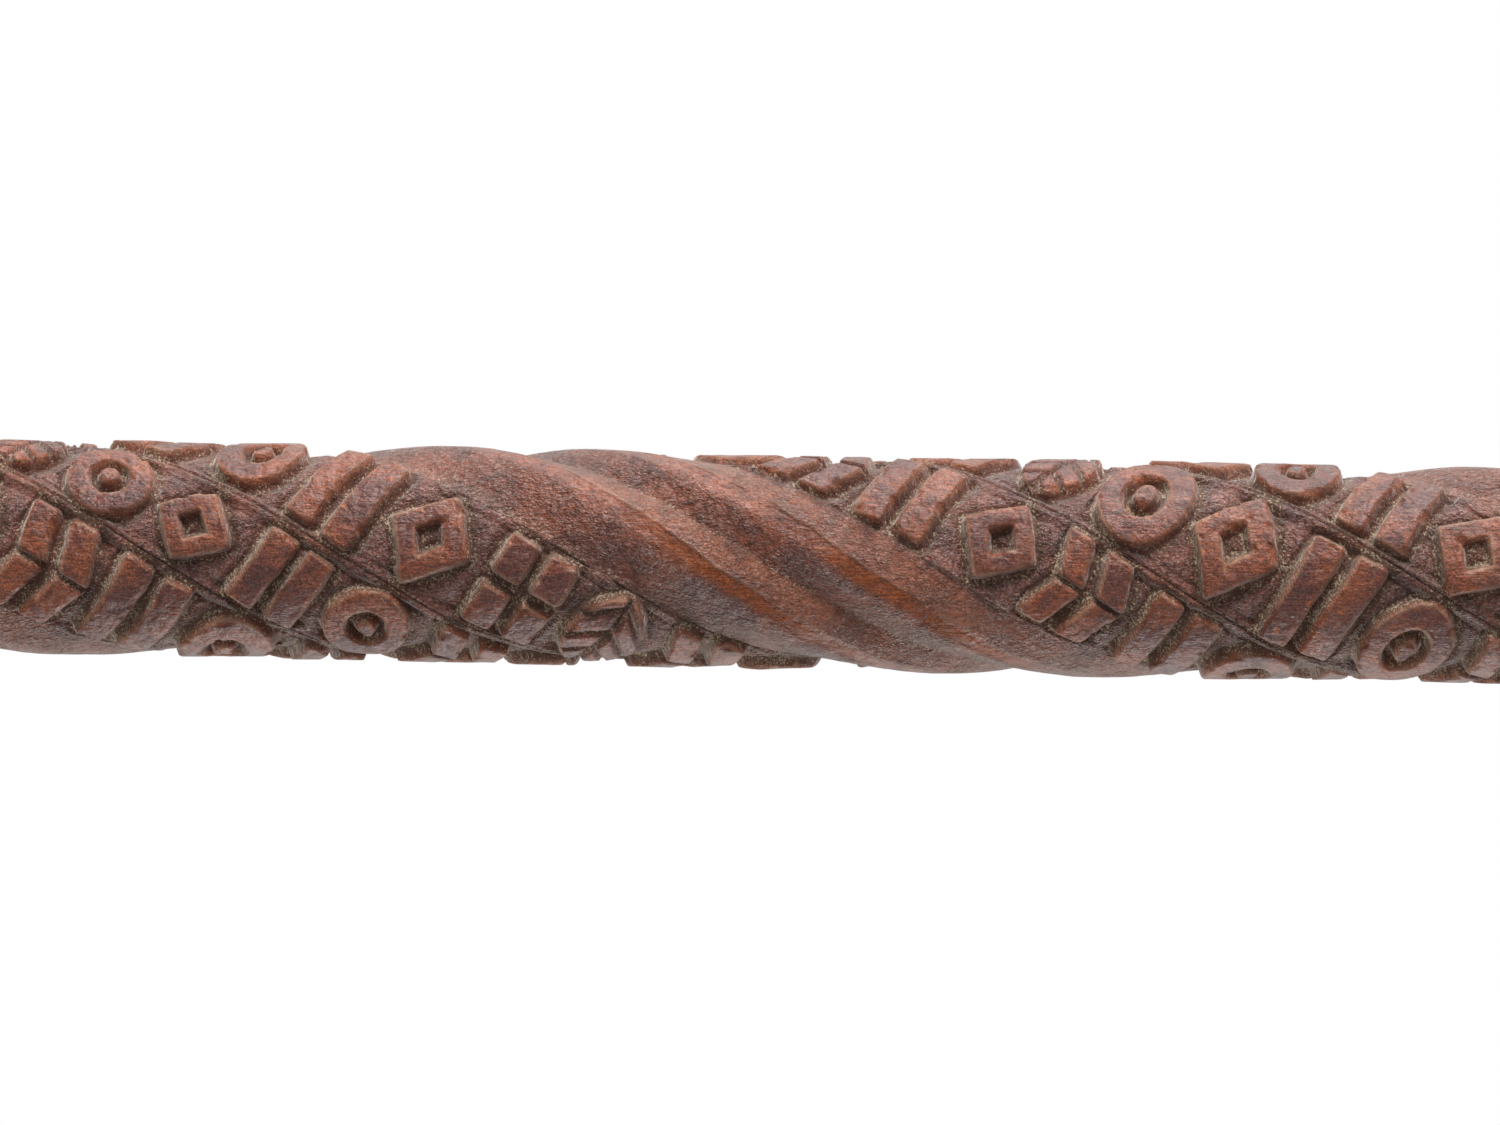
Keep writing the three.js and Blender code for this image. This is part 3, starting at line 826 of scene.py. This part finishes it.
def pin_head(node):
    """A pin's domed head, over the one in the solids."""
    low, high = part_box(node)
    side = 1 if high.x + low.x > 0 else -1
    tip = max(abs(low.x), abs(high.x)) / MM
    height = (low.z + high.z) / 2 / MM
    dome = arc(0, 0, pin_head_height, 0, pin_dome, pin_head_d / 2)
    head = lathe(f"{node}_head", [(pin_head_d / 2, -pin_head_height / 2), *dome], pin_steps)
    place = Matrix.Translation((side * (tip - pin_head_height) * MM, 0, height * MM))
    head.data.transform(place @ Matrix.Rotation(side * QUARTER, 4, "Y"))
    return head


# Blender's Mix node has sockets for two numbers and for two colours, and an output for each
MIX_NUMBERS, MIX_NUMBER_OUT = (2, 3), 0
MIX_COLOURS, MIX_COLOUR_OUT = (6, 7), 2


class Finish:
    """One material's nodes. Each call adds a node and gives its output."""

    def __init__(self, name):
        self.material = bpy.data.materials.new(name)
        self.material.use_nodes = True
        self.tree = self.material.node_tree
        self.shader = self.tree.nodes["Principled BSDF"]
        self.coordinates = self.tree.nodes.new("ShaderNodeTexCoord").outputs["Object"]

    def add(self, kind, inputs, **settings):
        """A new node, with its settings made and its inputs set or linked."""
        node = self.tree.nodes.new(kind)
        for name, value in settings.items():
            setattr(node, name, value)
        for key, value in inputs.items():
            if isinstance(value, bpy.types.NodeSocket):
                self.tree.links.new(value, node.inputs[key])
            else:
                node.inputs[key].default_value = value
        return node

    def set(self, **inputs):
        """Sets the shader's own sockets, by name with underscores for spaces."""
        for name, value in inputs.items():
            socket = self.shader.inputs[name.replace("_", " ")]
            if isinstance(value, bpy.types.NodeSocket):
                self.tree.links.new(value, socket)
            else:
                socket.default_value = value

    def places(self, stretch=(1, 1, 1)):
        """Places in millimetres, stretched so that a smaller share makes longer features."""
        scale = tuple(share / MM for share in stretch)
        inputs = {0: self.coordinates, 1: scale}
        return self.add("ShaderNodeVectorMath", inputs, operation="MULTIPLY").outputs[0]

    def noise(self, size, detail, stretch=(1, 1, 1), rough=0.5, swirl=0):
        """Noise from 0 to 1, with features of a size in millimetres."""
        inputs = {"Vector": self.places(stretch), "Scale": 1 / size, "Detail": detail}
        inputs.update({"Roughness": rough, "Distortion": swirl})
        return self.add("ShaderNodeTexNoise", inputs).outputs["Fac"]

    def cells(self, size):
        """How far each place lies from its nearest of scattered points, as a share of their spacing."""
        inputs = {"Vector": self.places(), "Scale": 1 / size}
        return self.add("ShaderNodeTexVoronoi", inputs, feature="F1").outputs["Distance"]

    def mark(self, name):
        """One of the carved mesh's marks."""
        return self.add("ShaderNodeAttribute", {}, attribute_name=name).outputs["Fac"]

    def fade(self, value, low, high):
        """A soft step of a value between two levels, rising or falling."""
        inputs = {"Value": value, "From Min": low, "From Max": high}
        node = self.add("ShaderNodeMapRange", inputs, interpolation_type="SMOOTHSTEP")
        return node.outputs["Result"]

    def sums(self, operation, first, second):
        """A sum of one kind on two numbers."""
        inputs = {0: first, 1: second}
        return self.add("ShaderNodeMath", inputs, operation=operation).outputs[0]

    def times(self, first, second):
        return self.sums("MULTIPLY", first, second)

    def plus(self, first, second):
        return self.sums("ADD", first, second)

    def blend(self, share, first, second, kind="MIX"):
        """A colour between two others."""
        inputs = {"Factor": share, **dict(zip(MIX_COLOURS, (first, second)))}
        node = self.add("ShaderNodeMix", inputs, data_type="RGBA", blend_type=kind)
        return node.outputs[MIX_COLOUR_OUT]

    def lay(self, where, base, layer):
        """A colour with a layer over it, given as a share and a colour."""
        share, tone = layer
        return self.blend(self.times(where, share), base, tone)

    def shaded(self, base, level):
        """A colour made darker or lighter by a level, where 1 leaves it alone."""
        return self.blend(1, base, level, "MULTIPLY")

    def between(self, share, first, second):
        """A number between two others."""
        inputs = {"Factor": share, **dict(zip(MIX_NUMBERS, (first, second)))}
        return self.add("ShaderNodeMix", inputs, data_type="FLOAT").outputs[MIX_NUMBER_OUT]

    def bump(self, height, distance):
        """The surface's tilt over a height map that is as deep as a distance in millimetres."""
        inputs = {"Height": height, "Distance": distance * MM, "Strength": 1}
        return self.add("ShaderNodeBump", inputs).outputs["Normal"]


def colour(red, green, blue):
    """A colour as a picture writes it, from 0 to 255, turned into light by the sRGB curve."""

    def light(value):
        share = value / 255
        return share / 12.92 if share <= 0.04045 else ((share + 0.055) / 1.055) ** 2.4

    return (light(red), light(green), light(blue), 1)


# The grain's stretch: long features up the stick
ALONG = (1, 1, 0.09)

# The carved wood's tones, two each for its ground and its tops
GROUND_TONES = colour(116, 70, 61), colour(136, 82, 68)
TOP_TONES = colour(97, 52, 43), colour(135, 72, 47)
# The ripple highlights are painted glints on the crazed varnish, with dark ripples between them
RIPPLE_HIGHLIGHTS, DARK_RIPPLES = colour(176, 138, 126), colour(52, 28, 26)
SPECKS = colour(224, 212, 188)

# Layers over them: the share of each that shows, and its colour
DARK_PATCHES = 0.55, colour(70, 44, 43)
PALE_PATCHES = 0.2, colour(146, 94, 78)
# Rubbed wood: real wear on the strips and edges, also laid on the faces beyond the crests as painted
# light
RUBBED_WOOD = 0.8, colour(142, 72, 32)
SCUFFS = 0.75, colour(178, 100, 54)
# Dirt with painted shade: a dark grey-brown laid in recesses, at the feet of walls, in cuts, in lines and
# in the band's groove
DIRT_AND_PAINTED_SHADE = 0.42, colour(62, 48, 40)
# Pale rims: worn edges, and partly painted highlights on edges, crests and the faces beyond them
PALE_RIMS_AND_HIGHLIGHTS = 0.7, colour(190, 150, 126)
DUST_FILM = 0.6, colour(114, 94, 80)
SETTLED_DUST = 0.9, colour(196, 178, 152)
FLAKES = 0.9, colour(200, 168, 120)


def wood_textures(f):
    """The mesh's marks, and the textures that the carved wood's colour, relief and gloss share."""
    wood = SimpleNamespace(**{name: f.mark(name) for name in MARKS})
    wood.grain = f.noise(0.24, 3, ALONG, rough=0.7)
    wood.regions = f.noise(8.0, 3)
    wood.patches = f.noise(2.6, 4, rough=0.6)
    wood.ripples = f.noise(0.36, 2, (1, 1, 0.6), swirl=0.8)
    wood.grit = f.noise(0.22, 1, (1, 1, 0.8))
    wood.spots = f.noise(1.9, 3)
    rougher = f.fade(f.noise(3.6, 3), 0.4, 0.6)
    wood.crazed = f.times(wood.crazed, f.between(rougher, 0.5, 1.1))
    on_band = f.times(f.fade(wood.relief, 0.3, 0.6), f.fade(wood.relief, 0.95, 0.85))
    wood.lively = f.sums("MAXIMUM", rougher, f.sums("SUBTRACT", 1, on_band))
    wood.rubbed = f.times(wood.worn, f.fade(wood.spots, 0.25, 0.5))
    return wood


def varnish_colour(f, wood):
    """The varnish, with its patches, wear, ripples with painted highlights, grain, dirt with painted
    shade, and pale rims with painted highlights.
    """
    ground = f.blend(f.fade(wood.regions, 0.4, 0.62), *GROUND_TONES)
    top = f.blend(f.fade(wood.regions, 0.38, 0.6), *TOP_TONES)
    base = f.blend(f.fade(wood.relief, 0.25, 0.95), ground, top)
    base = f.lay(f.fade(wood.patches, 0.52, 0.64), base, DARK_PATCHES)
    base = f.lay(f.fade(wood.patches, 0.42, 0.34), base, PALE_PATCHES)
    base = f.lay(wood.rubbed, base, RUBBED_WOOD)
    scuffs = f.times(f.fade(wood.spots, 0.66, 0.72), f.fade(wood.relief, 0.8, 1.0))
    base = f.lay(scuffs, base, SCUFFS)
    # Painted highlights on the ripples of the crazed varnish, and darker ripples between
    ripple_highlight = f.times(f.fade(wood.ripples, 0.54, 0.64), f.between(wood.crazed, 0.04, 0.28))
    dark_ripple = f.times(f.fade(wood.ripples, 0.46, 0.36), f.between(wood.crazed, 0.08, 0.38))
    base = f.blend(ripple_highlight, base, RIPPLE_HIGHLIGHTS)
    base = f.blend(dark_ripple, base, DARK_RIPPLES)
    light_grain, dark_grain = f.between(wood.crazed, 1.28, 1.08), f.between(wood.crazed, 0.66, 0.72)
    base = f.shaded(base, f.between(f.fade(wood.grain, 0.38, 0.62), light_grain, dark_grain))
    light_grit, dark_grit = f.between(wood.lively, 1.14, 1.36), f.between(wood.lively, 0.86, 0.64)
    base = f.shaded(base, f.between(f.fade(wood.grit, 0.38, 0.62), light_grit, dark_grit))
    # Painted shade, with dirt: the recesses darkened
    base = f.lay(f.fade(wood.shade, 0.1, 0.9), base, DIRT_AND_PAINTED_SHADE)
    # Painted highlights with worn edges: the pale rims
    return f.lay(wood.rim, base, PALE_RIMS_AND_HIGHLIGHTS)


def dusty_colour(f, wood, base):
    """A film of dust, settled dust, specks and flakes over a colour, and where the dust has settled."""
    base = f.lay(f.fade(wood.dust, 0.05, 0.8), base, DUST_FILM)
    settled = f.times(f.times(wood.dust, 0.19), f.fade(wood.patches, 0.66, 0.4))
    dusty = f.fade(f.plus(f.noise(0.3, 2, rough=0.7), settled), 0.61, 0.69)
    dusty = f.times(dusty, f.between(f.fade(wood.dust, 0.0, 0.2), 0.25, 1.0))
    base = f.lay(dusty, base, SETTLED_DUST)
    specks = f.times(f.fade(f.cells(7.5), 0.03, 0.02), f.fade(wood.regions, 0.4, 0.5))
    base = f.blend(specks, base, SPECKS)
    flakes = f.fade(f.plus(f.cells(17), f.times(wood.ripples, 0.07)), 0.078, 0.07)
    flakes = f.times(flakes, f.fade(wood.crazed, 0.0, 0.2))
    return f.lay(flakes, base, FLAKES), dusty


def carved_wood():
    """Old varnish over carved hardwood, worn orange on the edges, with dust and painted shade in the
    recesses, and painted highlights.
    """
    f = Finish("carved_wood")
    wood = wood_textures(f)
    base, dusty = dusty_colour(f, wood, varnish_colour(f, wood))
    hills = f.times(f.plus(wood.ripples, f.times(wood.grit, 0.4)), f.between(wood.crazed, 0.12, 0.8))
    lumps = f.times(f.noise(1.3, 2), f.between(wood.crazed, 0.5, 0.75))
    relief_map = f.bump(f.plus(f.plus(hills, lumps), f.times(wood.grain, -0.13)), 0.75)
    # Less gloss where dust lies and in the painted shade
    dusty_or_shaded = f.sums("MAXIMUM", dusty, f.fade(wood.shade, 0.1, 0.8))
    bare = f.sums("MAXIMUM", f.times(wood.rubbed, 0.5), dusty_or_shaded)
    least_gloss, most_gloss = f.between(wood.crazed, 0.28, 0.19), f.between(wood.crazed, 0.38, 0.6)
    gloss = f.between(f.fade(wood.ripples, 0.4, 0.6), least_gloss, most_gloss)
    rough = f.plus(f.between(f.fade(wood.patches, 0.4, 0.6), 0.26, 0.38), f.times(wood.relief, 0.08))
    f.set(Base_Color=base, Roughness=f.between(dusty, rough, 0.9), Normal=relief_map)
    f.set(Specular_IOR_Level=f.between(bare, gloss, 0.1))
    f.set(Coat_Weight=f.between(bare, f.between(wood.crazed, 0.02, 0.1), 0.0))
    f.set(Coat_Roughness=0.2, Coat_Normal=relief_map)
    f.set(Sheen_Weight=1.0, Sheen_Roughness=0.32, Sheen_Tint=colour(255, 244, 238))
    return f.material


def knob_wood():
    """The same timber, turned smooth and darkened and polished by hands."""
    f = Finish("knob_wood")
    grain = f.noise(0.5, 5, ALONG, 0.6)
    figure = f.noise(3.0, 3, (1, 1, 0.16))
    base = f.blend(f.fade(figure, 0.35, 0.68), colour(96, 50, 34), colour(138, 78, 50))
    base = f.blend(f.times(f.fade(grain, 0.5, 0.7), 0.6), base, colour(66, 34, 26))
    f.set(Base_Color=base, Roughness=f.between(f.noise(6, 3), 0.34, 0.46))
    f.set(Normal=f.bump(grain, 0.05))
    f.set(Specular_IOR_Level=0.4, Coat_Weight=0.25, Coat_Roughness=0.24)
    return f.material


def aged_brass():
    """Brass gone dull and brown in patches, with fine rubbing marks."""
    f = Finish("aged_brass")
    patina = f.fade(f.noise(6.0, 3, rough=0.5), 0.4, 0.66)
    base = f.blend(patina, colour(188, 157, 100), colour(150, 118, 74))
    spots = f.fade(f.noise(0.9, 3), 0.64, 0.76)
    base = f.blend(f.times(spots, 0.4), base, colour(84, 66, 46))
    rub = f.noise(0.25, 4, (0.06, 0.06, 1))
    f.set(Base_Color=base, Metallic=1.0)
    f.set(Roughness=f.between(patina, 0.28, 0.42), Normal=f.bump(rub, 0.012))
    return f.material


def worn_iron():
    """Dark iron, scuffed bright in places."""
    f = Finish("worn_iron")
    scale = f.fade(f.noise(1.6, 5, rough=0.7), 0.4, 0.65)
    base = f.blend(scale, colour(104, 98, 92), colour(72, 58, 48))
    f.set(Base_Color=base, Metallic=0.85)
    f.set(Roughness=f.between(scale, 0.42, 0.75), Normal=f.bump(f.noise(0.5, 4), 0.05))
    return f.material


def plain_steel():
    """Plain turned steel, inside the wood."""
    f = Finish("plain_steel")
    rings = f.noise(0.3, 3, (0.05, 0.05, 1))
    f.set(Base_Color=f.blend(rings, colour(150, 150, 148), colour(176, 176, 174)), Metallic=1.0)
    f.set(Roughness=f.between(rings, 0.35, 0.5))
    return f.material


floor_reach, floor_thickness = 3500, 20
floor_fill = 0.45


def pale_floor():
    """A matt pale floor that meets a white background and keeps the stick's shadow."""
    f = Finish("pale_floor")
    seen = f.tree.nodes.new("ShaderNodeLightPath").outputs["Is Camera Ray"]
    tone = f.blend(f.noise(40, 2), (0.8, 0.8, 0.79, 1), (0.82, 0.82, 0.81, 1))
    f.set(Base_Color=tone, Roughness=0.9, Emission_Color=(1, 1, 1, 1))
    f.set(Emission_Strength=f.times(seen, floor_fill))
    return f.material


def add_floor():
    """A round floor under the heel."""
    floor = lathe("floor", [(floor_reach, -floor_thickness), (floor_reach, 0)], floor_steps)
    floor.data.materials.append(pale_floor())
    bpy.context.scene.collection.objects.link(floor)


# Light: white all round, with soft far lamps. Two are on the picture's upper side, one is below and
# behind the stick, and one is over the knob. Each points along the line from its place to the middle.
room_light = 0.22
LAMPS = {
    "key": {"place": (-850, -480, 150), "width": math.radians(23), "power": 2.4},
    "top": {"place": (-930, 180, 150), "width": math.radians(40), "power": 2.5},
    "rim": {"place": (900, 300, 60), "width": math.radians(30), "power": 1.55},
    "overhead": {"place": (-300, -200, 1500), "width": math.radians(33), "power": 0.45},
}


def add_lamp(name, place, width, power):
    """A soft lamp, as wide as its angle seen from the stick."""
    lamp = bpy.data.lights.new(name, "SUN")
    lamp.energy, lamp.angle = power, width
    holder = bpy.data.objects.new(name, lamp)
    holder.location = Vector(place) * MM
    holder.rotation_euler = Vector(place).to_track_quat("Z", "Y").to_euler()
    bpy.context.scene.collection.objects.link(holder)


def add_light():
    """The lamps, and a world that is dim on the object and white where it is seen or reflected."""
    for name, lamp in LAMPS.items():
        add_lamp(name, **lamp)

    world = bpy.data.worlds.new("studio")
    bpy.context.scene.world = world
    world.use_nodes = True
    tree = world.node_tree
    path = tree.nodes.new("ShaderNodeLightPath")
    seen = path.outputs["Is Camera Ray"]
    for ray in ("Is Glossy Ray", "Is Transmission Ray"):
        either = tree.nodes.new("ShaderNodeMath")
        either.operation = "MAXIMUM"
        tree.links.new(seen, either.inputs[0])
        tree.links.new(path.outputs[ray], either.inputs[1])
        seen = either.outputs[0]
    level = tree.nodes.new("ShaderNodeMapRange")
    level.inputs["To Min"].default_value = room_light
    tree.links.new(seen, level.inputs["Value"])
    background = tree.nodes["Background"]
    background.inputs["Color"].default_value = (1, 1, 1, 1)
    tree.links.new(level.outputs["Result"], background.inputs["Strength"])


def add_camera():
    """Looks along +Y, with the stick lying across the picture and its knob to the right."""
    data = bpy.data.cameras.new("photo_camera")
    data.lens, data.sensor_width = lens, sensor
    distance = shown_length * lens / sensor
    data.clip_start, data.clip_end = nearest_seen, farthest_seen
    across, up, back = Vector((0, 0, 1)), Vector((-1, 0, 0)), Vector((0, -1, 0))
    right = across * math.cos(shown_tilt) + up * math.sin(shown_tilt)
    top = up * math.cos(shown_tilt) - across * math.sin(shown_tilt)
    place = Vector((shown_offset, 0, shown_middle)) + back * distance
    turn = Matrix((right, top, back)).transposed().to_4x4()
    camera = bpy.data.objects.new("photo_camera", data)
    camera.matrix_world = Matrix.Translation(place * MM) @ turn
    bpy.context.scene.collection.objects.link(camera)
    bpy.context.scene.camera = camera


def add_piece(piece, node, finish):
    """Puts a modelled piece in the place of a CAD node."""
    bpy.context.scene.collection.objects.link(piece)
    piece.data.materials.append(finish)
    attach(piece, BODY)
    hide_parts(node)


def dress_node(node, finish):
    """Gives a CAD node its finish."""
    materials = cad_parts[node].data.materials
    materials.clear()
    materials.append(finish)


def add_stick():
    """All the stick's pieces, each over its own solid."""
    wood, polished, brass = carved_wood(), knob_wood(), aged_brass()
    add_piece(carved_shaft(), "shaft", wood)
    add_piece(turned_handle(), "handle", polished)
    add_piece(turned_collar(), "collar", brass)
    add_piece(turned_ferrule(), "ferrule", brass)
    add_piece(turned_heel(), "ferrule_heel", worn_iron())
    for node in ("collar_pin_1", "collar_pin_2", "ferrule_pin_1", "ferrule_pin_2"):
        add_piece(pin_head(node), node, brass)
    dress_node("handle_screw", plain_steel())


add_camera()
add_stick()
add_floor()
add_light()
bpy.context.scene.view_settings.view_transform = "Standard"
